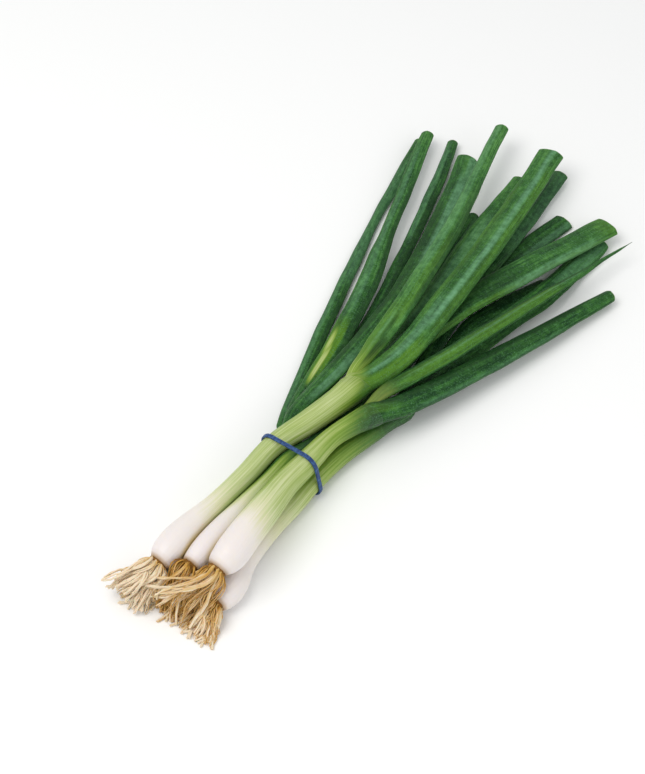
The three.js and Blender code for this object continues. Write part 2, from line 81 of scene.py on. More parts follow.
# rows: x, y, z, width, thickness; slant: how oblique the cut end is
# ridge: where the keel runs, from -1 on the right edge to 1 on the left, seen from the roots
# tone: 0 dark to 1 light; ripeness: x and how green the skin is there, 0 white to 1.1 full green
# lime, bloomAndHighlight, dark, dry, pale: patches, each across from and to, x from and to, strength;
# bloomAndHighlight is the waxy bloom together with a painted highlight along lit ridges, and dark is
# painted shade
# pointed: ends in a tip, not a cut; outside: lies beside the sheath, not in its mouth
leaves = {
    "a1": {"rows": [
        [44, 4, 21, 4, 3], [54, 4.6, 22, 5.6, 4.6], [66, 7.2, 22.8, 7.6, 5.4], [78, 8.6, 22.8, 9, 5.3],
        [90, 10.4, 22.6, 11, 5], [126, 16, 22, 12, 5], [160, 23, 21, 12, 5], [196, 31, 20, 10.6, 5],
        [228, 40.8, 19, 9.4, 4], [280, 55.8, 18, 8.3, 4],
    ], "tone": 0.58, "ripeness": [[50, 0.58], [60, 0.7], [76, 0.84], [94, 0.98], [112, 1.1]],
        "lime": [[-0.1, 1, 80, 118, 0.5], [-0.7, 0, 104, 180, 0.4]],
        "bloomAndHighlight": [[-0.02, 0.3, 78, 110, 0.6], [0, 1, 150, 285, 0.35]],
        "dark": [[-0.9, -0.2, 70, 94, 0.7], [-0.4, -0.02, 92, 112, 0.6], [-1, -0.6, 120, 230, 0.6],
                 [-1, -0.2, 150, 225, 0.4]]},
    "a2": {"rows": [
        [46, 2.4, 21, 8, 8], [56, 1, 21, 13.2, 12], [62, -0.4, 21, 14.4, 12], [72, -3, 21, 15.2, 10.4],
        [84, -4.6, 21, 15.6, 8.6], [98, -5.1, 21, 15.7, 7.2], [142, -1.6, 22, 16, 6],
        [190, 3.6, 22, 16, 6], [223, 8.6, 21, 15.5, 6], [277, 18, 20, 15.5, 5],
    ], "ridge": -0.3, "tone": 0.44, "slant": 0.3,
        "lime": [[-1, -0.25, 40, 104, 0.6], [0.2, 1, 62, 100, 0.2], [-0.95, -0.45, 110, 260, 0.3],
                 [0.6, 1, 120, 240, 0.25]],
        "bloomAndHighlight": [[-0.12, 0.2, 62, 122, 0.8], [-0.4, 0.04, 116, 290, 0.85], [0.1, 0.5, 84, 136, 0.5]],
        "dark": [[-1, -0.8, 110, 170, 0.35], [-0.7, -0.4, 118, 180, 0.3], [0.3, 0.8, 150, 230, 0.2]]},
    "a3": {"rows": [
        [10, 13, 19, 4, 3], [26, 17.6, 18, 7.8, 4], [54, 19.4, 15, 10.2, 4], [98, 22.5, 13, 11, 4],
        [148, 30, 11, 12, 4], [214, 48.4, 9, 12.6, 4], [254, 62.4, 8, 12.6, 4],
    ], "ridge": 0.1, "tone": 0.34, "slant": -0.8, "ripeness": [[10, 0.9], [24, 1.1]],
        "bloomAndHighlight": [[-0.8, -0.05, 40, 82, 0.7], [-1, 0.05, 160, 236, 0.9], [-1, -0.3, 232, 256, 0.8]],
        "dark": [[0.35, 1, 66, 210, 0.55], [0.5, 1, 84, 140, 0.6], [-0.1, 0.3, 130, 200, 0.4]],
        "outside": True},
    "b1": {"rows": [
        [36, -1, 11.6, 4, 3], [54, 0, 10.7, 8, 3.6], [97, -0.6, 15, 15, 4], [147, -7, 14, 17, 5],
        [190, -18.2, 12, 17.4, 5], [235, -31.2, 10, 16.6, 5], [255.4, -37.3, 9, 15.6, 4],
    ], "ridge": -0.65, "tone": 0.36, "slant": 0.6,
        "lime": [[-1, 1, 248, 262, 0.4], [-1, -0.7, 80, 245, 0.4]],
        "bloomAndHighlight": [[-1, -0.55, 175, 240, 0.6], [0.4, 1, 60, 130, 0.4]],
        "dark": [[-0.6, 1, 60, 185, 0.45], [-1, 1, 8, 44, 0.75]]},
    "b2": {"rows": [
        [36, 1, 10, 3, 3], [54, 5, 7, 8, 3], [93, 8, 8, 12, 4], [140, 11, 10, 13, 4],
        [195, 19, 10, 13, 4], [257, 25, 9, 11, 4],
    ], "ridge": -0.4, "tone": 0.5, "ripeness": [[36, 0.9], [54, 1.1]],
        "bloomAndHighlight": [[-1, 0.5, 120, 215, 0.4]], "dark": [[-0.2, 0.3, 90, 130, 0.5]]},
    "b3": {"rows": [
        [36, -2, 10, 3, 3], [60, -6, 6, 8, 3], [100, -2, 6, 10, 4], [167, -0.6, 8, 11, 4],
        [219, 4, 6, 11, 4], [279, 11.4, 5, 10.6, 4],
    ], "ridge": 0.1, "tone": 0.16, "ripeness": [[36, 0.9], [54, 1.1]],
        "bloomAndHighlight": [[-1, 1, 205, 284, 0.25]]},
    "c1": {"rows": [
        [36, -13, 21, 4, 4], [50, -13.2, 22, 5.6, 4.2], [60, -13.3, 21.8, 7.4, 4.4],
        [68, -14.3, 21, 8.6, 4.8], [77, -16.3, 20, 9.6, 5], [113, -25.8, 19, 9.6, 4],
        [158, -35.6, 17, 8.6, 4], [204, -46, 14, 4.6, 3], [223, -50, 13, 2.6, 1.8], [249, -56, 12, 1, 1],
    ], "ridge": -0.1, "tone": 0.34, "ripeness": [[36, 0.74], [54, 0.84], [66, 0.9], [72, 1], [80, 1.1]],
        "lime": [[-0.9, 0.6, 72, 190, 0.4]], "bloomAndHighlight": [[-0.05, 0.2, 80, 210, 0.45]],
        "dark": [[0.6, 1, 70, 220, 0.5], [0.1, 0.9, 66, 84, 0.4], [0.4, 1, 146, 176, 0.5]],
        "dry": [[-1, 1, 40, 66, 0.25]], "pointed": True},
    "c2": {"rows": [
        [38, -15.4, 20, 8, 8], [48, -17.6, 19.8, 12, 12], [54, -19.8, 19.2, 13, 10.6],
        [66, -25, 17, 14, 8], [108, -38, 13, 14, 7], [162, -53, 9, 12, 6], [212, -66, 5, 8, 5],
    ], "ridge": 0.3, "tone": 0.2, "bloomAndHighlight": [[-1, -0.75, 70, 170, 0.25]],
        "lime": [[-0.6, 0.3, 40, 58, 0.3]],
        "dark": [[0.1, 1, 52, 190, 0.6], [-0.5, 0.3, 100, 160, 0.25]]},
    "d1": {"rows": [
        [60, -22, 8, 5, 4], [76, -23, 8, 9, 4], [103, -24, 7, 13, 4], [136, -27.6, 6, 14, 4],
        [160, -30.6, 5.4, 14, 4], [186, -35.2, 5, 15, 4], [232, -38.2, 4.2, 13.4, 4],
        [245.6, -38.6, 4, 10.8, 4],
    ], "tone": 0.26, "bloomAndHighlight": [[-0.8, 0.4, 200, 250, 0.4]]},
    "d2": {"rows": [
        [60, -23.4, 5.2, 4, 3], [80, -21.6, 3.4, 6.6, 3], [100, -19.5, 2.4, 6, 2.8],
        [118, -17.1, 2, 8.6, 2.8], [146, -14.9, 1.8, 11.8, 2.8], [174, -22.2, 1.5, 12.6, 2.4],
        [200, -31, 1.5, 11, 2.4],
    ], "tone": 0.1, "ripeness": [[60, 1], [70, 1.1]]},
    "d3": {"rows": [
        [52, -18, 5, 4, 3], [70, -17, 3, 7, 3], [100, -12, 3, 9.2, 3], [140, -3.1, 3, 11.3, 3],
        [182, -2.4, 3, 13.8, 3], [225, -7, 2, 13.5, 3], [250, -11, 1.6, 13, 3],
    ], "ridge": 0.3, "tone": 0.12, "ripeness": [[52, 0.9], [66, 1.1]],
        "bloomAndHighlight": [[-0.9, -0.3, 205, 256, 0.35]]},
    "e1": {"rows": [
        [6, 11, 8, 4, 4], [28, 21, 9, 9, 5], [52, 27, 9, 11, 5], [80, 33, 9, 12, 5],
        [124, 45.2, 9, 12.8, 5], [150, 54.6, 9, 11.6, 5], [171, 62.5, 9, 8.6, 5],
        [192, 70.4, 9, 8.8, 4.6], [213, 78, 9, 9, 4], [256, 94, 9, 8, 4],
    ], "ridge": 0.1, "tone": 0.36, "pale": [[0.08, 0.62, 52, 80, 0.55], [0.3, 0.8, 72, 92, 0.5]],
        "lime": [[-0.3, 1, 58, 98, 0.7]], "bloomAndHighlight": [[0, 0.7, 108, 240, 0.35]],
        "dark": [[-1, -0.45, 50, 210, 0.5]]},
    "e2": {"rows": [
        [4, 13, 7, 5, 5], [20, 22, 6, 7, 4], [47, 33, 4, 8, 4], [99, 52, 3, 8.2, 4],
        [145, 67.2, 2.5, 7.6, 4], [176, 77.2, 2.3, 5.6, 3.6], [214, 87.4, 2.1, 7, 3.6],
        [255, 98, 1.6, 7, 3],
    ], "ridge": -0.1, "tone": 0.3, "ripeness": [[4, 0.9], [14, 1.1]],
        "bloomAndHighlight": [[0.2, 0.9, 30, 230, 0.3], [-1, 0.2, 130, 235, 0.35]],
        "dark": [[-1, -0.3, 30, 120, 0.4]]},
    "f1": {"rows": [
        [32, 7, 6, 4, 3], [60, 20, 5, 6, 3], [87, 27, 4, 7, 3], [129, 36.4, 4, 8, 4], [179, 51, 4, 8, 4],
        [229, 67, 4, 8, 4], [264, 80, 4, 6.6, 3],
    ], "tone": 0.2, "bloomAndHighlight": [[0, 0.9, 180, 260, 0.35]], "dark": [[-1, 0, 100, 220, 0.5]]},
    "f2": {"rows": [
        [32, 5, 4, 4, 3], [60, 13, 3, 7, 3], [100, 16, 3, 8, 3], [143, 19, 3, 8, 3], [186, 28, 3, 8, 3],
        [220, 34, 3, 7, 3],
    ], "tone": 0.14, "ripeness": [[32, 0.9], [44, 1.1]], "bloomAndHighlight": [[-1, -0.4, 140, 215, 0.4]]},
}

band = {
    "sizes": {"Width": 2.4, "Thickness": 1.2, "Corner": 0.504, "Wrinkle": 0.05},  # millimetres
    "twist": 18,  # degrees
    "steps": 96, "points": 360, "twistScale": 60.0, "wrinkleScale": 900.0,
}


def waistOf(onion):  # the row of the stalk that the band goes round
    return next(row for row in onion["stalk"] if row[0] == 0)


bandLow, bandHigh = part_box("rubber_band")
bandLeft = sum(waistOf(onions["a"])[1::2]) + clearance + band["sizes"]["Thickness"]
layoutOrigin = np.array([(bandLow.x + bandHigh.x) / 2, bandHigh.y - bandLeft * mm, 0])


def inRow(points):  # layout millimetres to the part's metres
    return np.asarray(points, float) * mm + layoutOrigin


def inMetres(sizes):
    return {name: value * mm for name, value in sizes.items()}


def distances(rows):  # how far along the route each row lies
    steps = np.linalg.norm(np.diff(np.array([row[:3] for row in rows], float), axis=0), axis=1)
    return np.append(0, np.cumsum(steps))


def rowsAt(rows, spots):  # the same smooth cubic that shapes the solids
    table = np.array(rows, float)
    sums = distances(rows)
    last = len(rows) - 1
    spots = np.atleast_1d(spots).astype(float)
    i = np.clip(np.searchsorted(sums, spots, side="left") - 1, 0, last - 1)
    order = np.arange(last + 1)
    before, after = np.maximum(order - 1, 0), np.minimum(order + 1, last)
    slopes = (table[after] - table[before]) / (sums[after] - sums[before])[:, None]
    span = (sums[i + 1] - sums[i])[:, None]
    t = (spots[:, None] - sums[i][:, None]) / span
    return (
        table[i] * (2 * t**3 - 3 * t**2 + 1)
        + slopes[i] * span * (t**3 - 2 * t**2 + t)
        + table[i + 1] * (3 * t**2 - 2 * t**3)
        + slopes[i + 1] * span * (t**3 - t**2)
    )


def unit(vectors):
    return vectors / np.linalg.norm(vectors, axis=-1, keepdims=True)


def axesAlong(rows, spots, roll):  # heading, sideways and upward axes at each spot
    total = distances(rows)[-1]
    near, far = (rowsAt(rows, np.clip(spots + shift, 0, total))[:, :3] for shift in (-0.5, 0.5))
    ahead = unit(far - near)
    side = unit(np.cross([0.0, 0.0, 1.0], ahead))
    up = np.cross(ahead, side)
    turn = np.radians(roll)[:, None]
    return ahead, side * np.cos(turn) + up * np.sin(turn), up * np.cos(turn) - side * np.sin(turn)


def stalkAt(name, x):  # the middle and the radius of a stalk, at its nearest x
    stalk = np.array(onions[name]["stalk"], float)
    y, z, radius = (np.interp(x, stalk[:, 0], stalk[:, k]) for k in (1, 2, 3))
    return np.stack([np.clip(x, stalk[0, 0], stalk[-1, 0]), y, z], -1), radius


def smooth(low, high, value):
    t = np.clip((value - low) / (high - low), 0, 1)
    return t * t * (3 - 2 * t)


def newMesh(name, points, edges, faces, marks):
    # points in layout millimetres; each mark is one value, or a value or vector for every point
    points = inRow(points)
    mesh = bpy.data.meshes.new(name)
    mesh.from_pydata(points.reshape(-1, 3).tolist(), edges, faces, shade_flat=False)
    for markName, values in marks.items():
        isVector = np.ndim(values) == points.ndim
        flat = np.broadcast_to(values, points.shape if isVector else points.shape[:-1]).ravel()
        layer = mesh.attributes.new(markName, "FLOAT_VECTOR" if isVector else "FLOAT", "POINT")
        layer.data.foreach_set("vector" if isVector else "value", flat.astype(np.float32))
    return mesh


def tubeFaces(count, sides):  # the faces between rings of points, with both ends closed
    grid = np.arange(count * sides).reshape(count, sides)
    turned = np.roll(grid, -1, axis=1)
    faces = np.stack([grid[:-1], turned[:-1], turned[1:], grid[1:]], -1).reshape(-1, 4).tolist()
    return faces + [grid[0][::-1].tolist(), grid[-1].tolist()]


def addObject(name, data):
    thing = bpy.data.objects.new(name, data)
    bpy.context.scene.collection.objects.link(thing)
    return thing


def addPiece(piece, node):
    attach(piece, "root")
    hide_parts(node)


def addSkin(name, rings, marks, material, node):
    mesh = newMesh(name, rings, [], tubeFaces(*rings.shape[:2]), marks)
    mesh.materials.append(material)
    addPiece(addObject(name, mesh), node)


def tint(*parts):  # red, green and blue as seen on a screen, 0 to 255, made linear
    parts = [part / 255 for part in parts]
    return (*(part / 12.92 if part <= 0.04045 else ((part + 0.055) / 1.055) ** 2.4 for part in parts), 1)


def setSockets(tree, node, inputs):  # each socket takes a value or a link
    for key, value in inputs.items():
        if isinstance(value, bpy.types.NodeSocket):
            tree.links.new(value, node.inputs[key])
        else:
            node.inputs[key].default_value = value


def place(tree, kind, inputs=None, **settings):
    node = tree.nodes.new(kind)
    for key, value in settings.items():
        setattr(node, key, value)
    setSockets(tree, node, inputs or {})
    return node


def step(tree, kind, inputs=None, **settings):  # places a node and gives its first output
    return place(tree, kind, inputs, **settings).outputs[0]


def maths(tree, operation, first, second):
    return step(tree, "ShaderNodeMath", {0: first, 1: second}, operation=operation)


def times(tree, first, second, plus=None):
    if plus is None:
        return maths(tree, "MULTIPLY", first, second)
    return step(tree, "ShaderNodeMath", {0: first, 1: second, 2: plus}, operation="MULTIPLY_ADD")


def vectorMaths(tree, operation, first, second):
    return step(tree, "ShaderNodeVectorMath", {0: first, 1: second}, operation=operation)


def scaled(tree, vector, factor):
    return step(tree, "ShaderNodeVectorMath", {0: vector, "Scale": factor}, operation="SCALE")


def joined(tree, x, y, z):
    return step(tree, "ShaderNodeCombineXYZ", {"X": x, "Y": y, "Z": z})


def mixValue(tree, share, first, second):
    return step(tree, "ShaderNodeMix", {0: share, 2: first, 3: second})


def mixColour(tree, share, first, second, blend="MIX"):
    inputs = {0: share, 6: first, 7: second}
    return place(tree, "ShaderNodeMix", inputs, data_type="RGBA", blend_type=blend).outputs[2]


def noise(tree, vector, scale, detail, roughness=0.5, output="Fac"):
    inputs = {"Vector": vector, "Scale": scale, "Detail": detail, "Roughness": roughness}
    return place(tree, "ShaderNodeTexNoise", inputs).outputs[output]


def bump(tree, height, distance, strength=1.0):
    return step(tree, "ShaderNodeBump", {"Height": height, "Distance": distance, "Strength": strength})


def ramp(tree, value, stops):  # position and colour pairs
    node = place(tree, "ShaderNodeValToRGB", {"Fac": value})
    elements = node.color_ramp.elements
    while len(elements) < len(stops):
        elements.new(0.5)
    for element, (position, colour) in zip(elements, stops):
        element.position, element.color = position, colour
    return node.outputs["Color"]


def mark(tree, name, output="Fac"):
    return place(tree, "ShaderNodeAttribute", attribute_name=name).outputs[output]


def limits(tree, value, low, high, newLow=0, newHigh=1):
    inputs = {"Value": value, "From Min": low, "From Max": high, "To Min": newLow, "To Max": newHigh}
    return step(tree, "ShaderNodeMapRange", inputs, interpolation_type="SMOOTHSTEP")


def nodeGroup(name, inputs, outputs, kind="ShaderNodeTree"):  # every socket's name and kind
    tree = bpy.data.node_groups.new(name, kind)
    for way, sockets in (("INPUT", inputs), ("OUTPUT", outputs)):
        for socketName, socketKind in sockets.items():
            tree.interface.new_socket(socketName, in_out=way, socket_type=f"NodeSocket{socketKind}")
    return tree, place(tree, "NodeGroupInput").outputs, place(tree, "NodeGroupOutput")


def newMaterial(name):
    material = bpy.data.materials.new(name)
    material.use_nodes = True
    return material, material.node_tree, material.node_tree.nodes["Principled BSDF"]


print("helpers ready")


def makeFibres():  # fibres that run lengthwise, broad and fine
    inputs = {"Grain": "Vector", "Fineness": "Float", "Stretch": "Float"}
    tree, given, made = nodeGroup("lengthwiseFibres", inputs, {"Broad": "Float", "Fine": "Float"})
    for output, share in (("Broad", 0.35), ("Fine", 1.0)):
        across = times(tree, given["Fineness"], share)
        stretch = joined(tree, across, across, given["Stretch"])
        streaks = noise(tree, vectorMaths(tree, "MULTIPLY", given["Grain"], stretch), 1.0, 3.0, 0.6)
        setSockets(tree, made, {output: limits(tree, streaks, 0.32, 0.68)})
    return tree


def makeBloom():  # the waxy bloom that dusts leaves and stalks, in clouds and in small flecks
    inputs = {"Grain": "Vector", "Size": "Float"}
    tree, given, made = nodeGroup("waxyBloom", inputs, {"Cloud": "Float", "Fleck": "Float"})
    perSize = maths(tree, "DIVIDE", 1.0, given["Size"])
    cloud = noise(tree, given["Grain"], perSize, 4.0, 0.65)
    fleck = noise(tree, given["Grain"], times(tree, perSize, 5.0), 2.0)
    outputs = {"Cloud": limits(tree, cloud, 0.35, 0.7), "Fleck": limits(tree, fleck, 0.52, 0.72)}
    setSockets(tree, made, outputs)
    return tree


greensRamp = [
    (0.0, tint(234, 226, 225)), (0.15, tint(234, 227, 218)), (0.3, tint(216, 215, 176)),
    (0.45, tint(194, 204, 148)), (0.6, tint(164, 182, 104)), (0.75, tint(130, 158, 62)),
    (0.9, tint(94, 132, 38)), (1.0, tint(62, 100, 34)),
]


def makeGreens():  # from bulb white through pale yellow-green to the green of the lower leaf
    inputs = {"Ripeness": "Float", "Fibre": "Float"}
    tree, given, made = nodeGroup("bulbToLeaf", inputs, {"Colour": "Color"})
    shifted = times(tree, given["Fibre"], 0.26, -0.13)
    greened = limits(tree, given["Ripeness"], 0.05, 0.4)
    ripened = times(tree, shifted, greened, given["Ripeness"])
    setSockets(tree, made, {"Colour": ramp(tree, ripened, greensRamp)})
    return tree


fibres, bloom, greens = makeFibres(), makeBloom(), makeGreens()

# broad, fine, cloud, fleck: how much each pattern lightens the skin; darker evens that out
# streaks, dust: how far lime and dark patches, and bloomAndHighlight, follow the patterns, and from what
# level
leafLook = {
    # deep: the colour of the dark patches, which are painted shade
    "deep": tint(12, 38, 16), "dark": tint(22, 60, 26), "middle": tint(52, 102, 42),
    # bloomAndHighlight: the blue-green of the waxy bloom, also used as a painted highlight along lit
    # ridges
    "light": tint(94, 148, 74), "lime": tint(92, 136, 26), "bloomAndHighlight": tint(112, 164, 124),
    "rim": tint(150, 172, 96), "husk": tint(176, 140, 88), "dry": tint(150, 142, 92),
    # creaseShade: the tint of the painted shade in the creases between stalks
    "creaseShade": tint(228, 214, 160),
    "fineness": 1500.0, "stretch": 26.0, "bloomSize": 0.0036,
    "broad": 0.34, "fine": 0.26, "cloud": 0.36, "darker": 0.46, "fleck": 0.3,
    "streaks": (0.6, 0.55), "dust": (0.45, 0.6), "dustless": -0.3,
    "relief": 0.00014, "roughness": (0.34, 0.56), "specular": 0.15, "glow": 0.06, "glowReach": 0.002,
}
stalkLook = {
    **leafLook, "rim": tint(206, 210, 158), "fineness": 2300.0, "roughness": (0.3, 0.46),
    "specular": 0.3, "glow": 0.35, "glowReach": 0.005,
}


def makeSkin(name, look):  # one finish from bulb white to leaf green, for stalks and leaves
    material, tree, shader = newMaterial(name)
    grain = mark(tree, "grain", "Vector")
    strands = place(tree, "ShaderNodeGroup", {
        "Grain": grain, "Fineness": look["fineness"], "Stretch": look["stretch"],
    }, node_tree=fibres).outputs
    wax = place(tree, "ShaderNodeGroup", {
        "Grain": grain, "Size": look["bloomSize"],
    }, node_tree=bloom).outputs
    tone = times(tree, strands["Broad"], look["broad"], mark(tree, "tone"))
    tone = times(tree, strands["Fine"], look["fine"], tone)
    tone = maths(tree, "SUBTRACT", times(tree, wax["Cloud"], look["cloud"], tone), look["darker"])
    colour = ramp(tree, tone, [(0.0, look["dark"]), (0.45, look["middle"]), (1.0, look["light"])])
    streaked = times(tree, strands["Broad"], *look["streaks"])
    dusted = times(tree, strands["Fine"], look["dustless"], times(tree, wax["Cloud"], *look["dust"]))
    # the blue-green patches are waxy bloom with a painted highlight along lit ridges
    for coat, share in (("lime", streaked), ("bloomAndHighlight", dusted)):
        colour = mixColour(tree, times(tree, mark(tree, coat), share), colour, look[coat])
    colour = mixColour(tree, times(tree, wax["Fleck"], look["fleck"]), colour, look["bloomAndHighlight"])
    ripeness = mark(tree, "ripeness")
    fibre = times(tree, strands["Fine"], 0.5, times(tree, strands["Broad"], 0.5))
    young = step(tree, "ShaderNodeGroup", {"Ripeness": ripeness, "Fibre": fibre}, node_tree=greens)
    colour = mixColour(tree, limits(tree, ripeness, 0.72, 1.06), young, colour)
    # dark patches: painted shade on the sides and gaps that lie in shadow
    colour = mixColour(tree, times(tree, mark(tree, "dark"), streaked), colour, look["deep"])
    # painted shade in the creases between stalks
    colour = mixColour(tree, mark(tree, "creaseShade"), colour, look["creaseShade"], "MULTIPLY")
    for coat in ("dry", "husk", "rim"):
        colour = mixColour(tree, mark(tree, coat), colour, look[coat])
    setSockets(tree, shader, {
        "Base Color": colour, "Roughness": limits(tree, wax["Cloud"], 0, 1, *look["roughness"]),
        "Normal": bump(tree, fibre, look["relief"], 0.6), "Specular IOR Level": look["specular"],
        "Subsurface Weight": look["glow"], "Subsurface Radius": (1.0, 0.9, 0.6),
        "Subsurface Scale": look["glowReach"],
    })
    return material


leafSkin = makeSkin("leafSkin", leafLook)
stalkSkin = makeSkin("stalkSkin", stalkLook)
print("leaf and stalk finishes ready")

# each wander is an amount and its longest wave in millimetres
skinShape = {
    "sides": 72, "step": 1.8, "squareness": 2.5, "girth": 7, "least": 0.12,
    "keel": 0.8, "keelDrop": 0.55, "keelCurve": 0.9, "belly": 0.9, "keelFrom": 6, "keelUntil": 60,
    "sideWander": (0.25, 60), "widthWander": (0.03, 80), "rollWander": (3.0, 130),
    "ridgeWander": (0.06, 90), "ribWander": (0.5, 70), "toneWander": (0.08, 50),
    "ribs": 0.08, "ribCounts": (13, 19, 27, 37), "ribsFull": 40, "ribsFade": 0.5,
    "pointLength": 12, "pointFade": 0.8, "tipLength": 30, "tipLighter": 0.12,
}

# blade: the outermost leaf, which the sheath runs on into
# opens: the mouth's middle, in degrees from the left side over the top
# lip, rim: how far the mouth stands off and how pale its edge is; skew: how oblique it is
# left, right: how much greener each flank is, as x and amount, partly the skin's own green and partly
# painted shade on a flank that a neighbour shades; ripeness: as for the leaves
# lead: how far ahead the right flank ripens
plainSheath = {
    "opens": 90, "lip": 0.05, "rim": 0, "skew": 0, "lead": 0, "left": [[0, 0]], "right": [[0, 0]],
}
sheaths = {
    "a": {"blade": "a2", "opens": 62, "lip": 0.12, "rim": 0.15, "skew": 5, "lead": 5,
        "right": [[16, 0], [34, 0.08], [48, 0.16], [58, 0.16], [66, 0]],
        "left": [[-50, 0], [-30, 0.06], [0, 0.18], [20, 0.26], [38, 0.28], [52, 0.1], [60, 0]],
        "ripeness": [[-92, 0], [-80, 0.05], [-66, 0.1], [-52, 0.24], [-34, 0.43], [-16, 0.5], [6, 0.54],
                     [38, 0.55], [52, 0.64], [60, 0.78], [72, 1.1]]},
    # b's greener left flank and its full green soon past the band are partly painted shade, where A and
    # C shade the stalk
    "b": {**plainSheath, "blade": "b1", "lip": 0.1,
        "left": [[-60, 0], [-40, 0.25], [-19, 0.35], [-4, 0.35], [14, 0.1], [30, 0]],
        "ripeness": [[-84, 0], [-62, 0.04], [-48, 0.16], [-34, 0.42], [-19, 0.6], [-4, 0.76], [4, 0.9],
                     [12, 1.1]]},
    "c": {**plainSheath, "blade": "c2", "opens": 40, "lip": 0.06, "skew": 3, "lead": 6,
        "right": [[-54, 0], [-36, 0.1], [-15, 0.12], [0, 0.06], [31, 0]],
        "left": [[-60, 0.04], [-46, 0.2], [-30, 0.28], [-15, 0.3], [0, 0.24], [16, 0.12], [31, 0]],
        "ripeness": [[-80, 0.03], [-62, 0.06], [-50, 0.22], [-42, 0.34], [-30, 0.48], [-15, 0.53],
                     [16, 0.64], [28, 0.72], [38, 0.84], [48, 0.98], [60, 1.1]]},
    "d": {**plainSheath, "blade": "d1",
        "ripeness": [[-88, 0.03], [-66, 0.08], [-46, 0.2], [-27, 0.38], [-8, 0.6], [11, 0.74],
                     [30, 0.82], [45, 0.9], [58, 1], [70, 1.1]]},
    "e": {**plainSheath, "blade": "e1",
        "ripeness": [[-88, 0], [-60, 0.1], [-30, 0.5], [0, 0.9], [12, 1.1]]},
    "f": {**plainSheath, "blade": "f1",
        "ripeness": [[-86, 0], [-58, 0.1], [-28, 0.5], [0, 0.8], [30, 1.1]]},
}
sheathOf = {sheath["blade"]: name for name, sheath in sheaths.items()}
skinSeeds = {name: 500 + 20 * order for order, name in enumerate(onions)}


def patches(across, x, rows):  # how strong the patches are at each point, with soft edges
    found = np.zeros(across.shape)
    for right, left, start, end, inside in rows:
        for value, low, high, edge in ((across, right, left, 0.12), (x, start, end, 10)):
            inside = inside * smooth(low - edge, low + edge, value)
            inside = inside * (1 - smooth(high - edge, high + edge, value))
        found = np.maximum(found, inside)
    return found


def joinedRoute(name):  # the sheath and the blade that it runs on into, as one route
    rows = [[x, y, z, 2 * radius, 2 * radius] for x, y, z, radius in onions[name]["stalk"]]
    bladeRows = leaves[sheaths[name]["blade"]]["rows"]
    return rows + [row for row in bladeRows if row[0] > rows[-1][0] + 3]


def bladeSection(angle, ridge, keel, squareness):  # across and upward, 1 wide and 1 high each way
    cos, sin = np.cos(angle), np.sin(angle)
    across = np.sign(cos) * np.abs(cos) ** (2 / squareness)
    upward = np.sign(sin) * np.abs(sin) ** (2 / squareness)
    reach = np.where(across < ridge, 1 + ridge, 1 - ridge)
    crest = 1 - np.abs(across - ridge) / reach
    slope = 1 - keel * (1 - crest) ** skinShape["keelCurve"] * skinShape["keelDrop"]
    return across, np.where(upward >= 0, upward * slope, upward * (1 - keel * (1 - skinShape["belly"])))


def wander(kind, spots, seed):  # slow waves, by their amount and the longest of them
    amount, longest = skinShape[kind]
    rng = np.random.default_rng(seed)
    phases = rng.uniform(0, math.tau, 3)
    lengths = longest * np.array([1, 0.53, 0.31]) * rng.uniform(0.85, 1.15, 3)
    weights = np.array([0.55, 0.3, 0.15])
    return amount * (np.sin(math.tau * spots[..., None] / lengths + phases) * weights).sum(-1)


def skinPoints(route, leaf, bladeFrom, along, angle, inset, seed):
    # points on the skin of a sheath or blade, in layout millimetres, and how far across each lies
    shape = skinShape
    spots, theta, inset = (part.ravel() for part in np.broadcast_arrays(along, angle, inset))
    row = rowsAt(route, spots)
    grown = smooth(bladeFrom + shape["keelFrom"], bladeFrom + shape["keelUntil"], spots)
    ahead, side, up = axesAlong(route, spots, wander("rollWander", spots, seed) * grown)
    ridge = leaf.get("ridge", 0) + wander("ridgeWander", spots, seed + 7)
    squareness = 2 + (shape["squareness"] - 2) * grown
    across, upward = bladeSection(theta, ridge, shape["keel"] * grown, squareness)
    rng = np.random.default_rng(seed)
    ribs = 0
    for count in shape["ribCounts"]:
        phase = rng.uniform(0, 6.3) + wander("ribWander", spots, int(rng.integers(1000)))
        ribs = ribs + np.cos(count * theta + phase) * rng.uniform(0.5, 1)
    ribs = ribs * shape["ribs"] / len(shape["ribCounts"])
    ribs = ribs * smooth(0, shape["ribsFull"], spots) * (1 - shape["ribsFade"] * grown)
    halves = row[:, 3:].T / 2  # of the width and of the thickness
    halves[0] *= 1 + wander("widthWander", spots, seed + 3) * grown
    if leaf.get("pointed"):
        total = distances(route)[-1]
        halves *= 1 - smooth(total - shape["pointLength"], total, spots) * shape["pointFade"]
    halfWidth, halfThick = np.maximum(halves + ribs - inset, halves * shape["least"])
    sideways = across * halfWidth + wander("sideWander", spots, seed + 5) * grown
    points = row[:, :3] + side * sideways[:, None] + up * (upward * halfThick)[:, None]
    rings = angle.shape
    return points.reshape(*rings, 3), ahead.reshape(*rings, 3), across.reshape(rings)


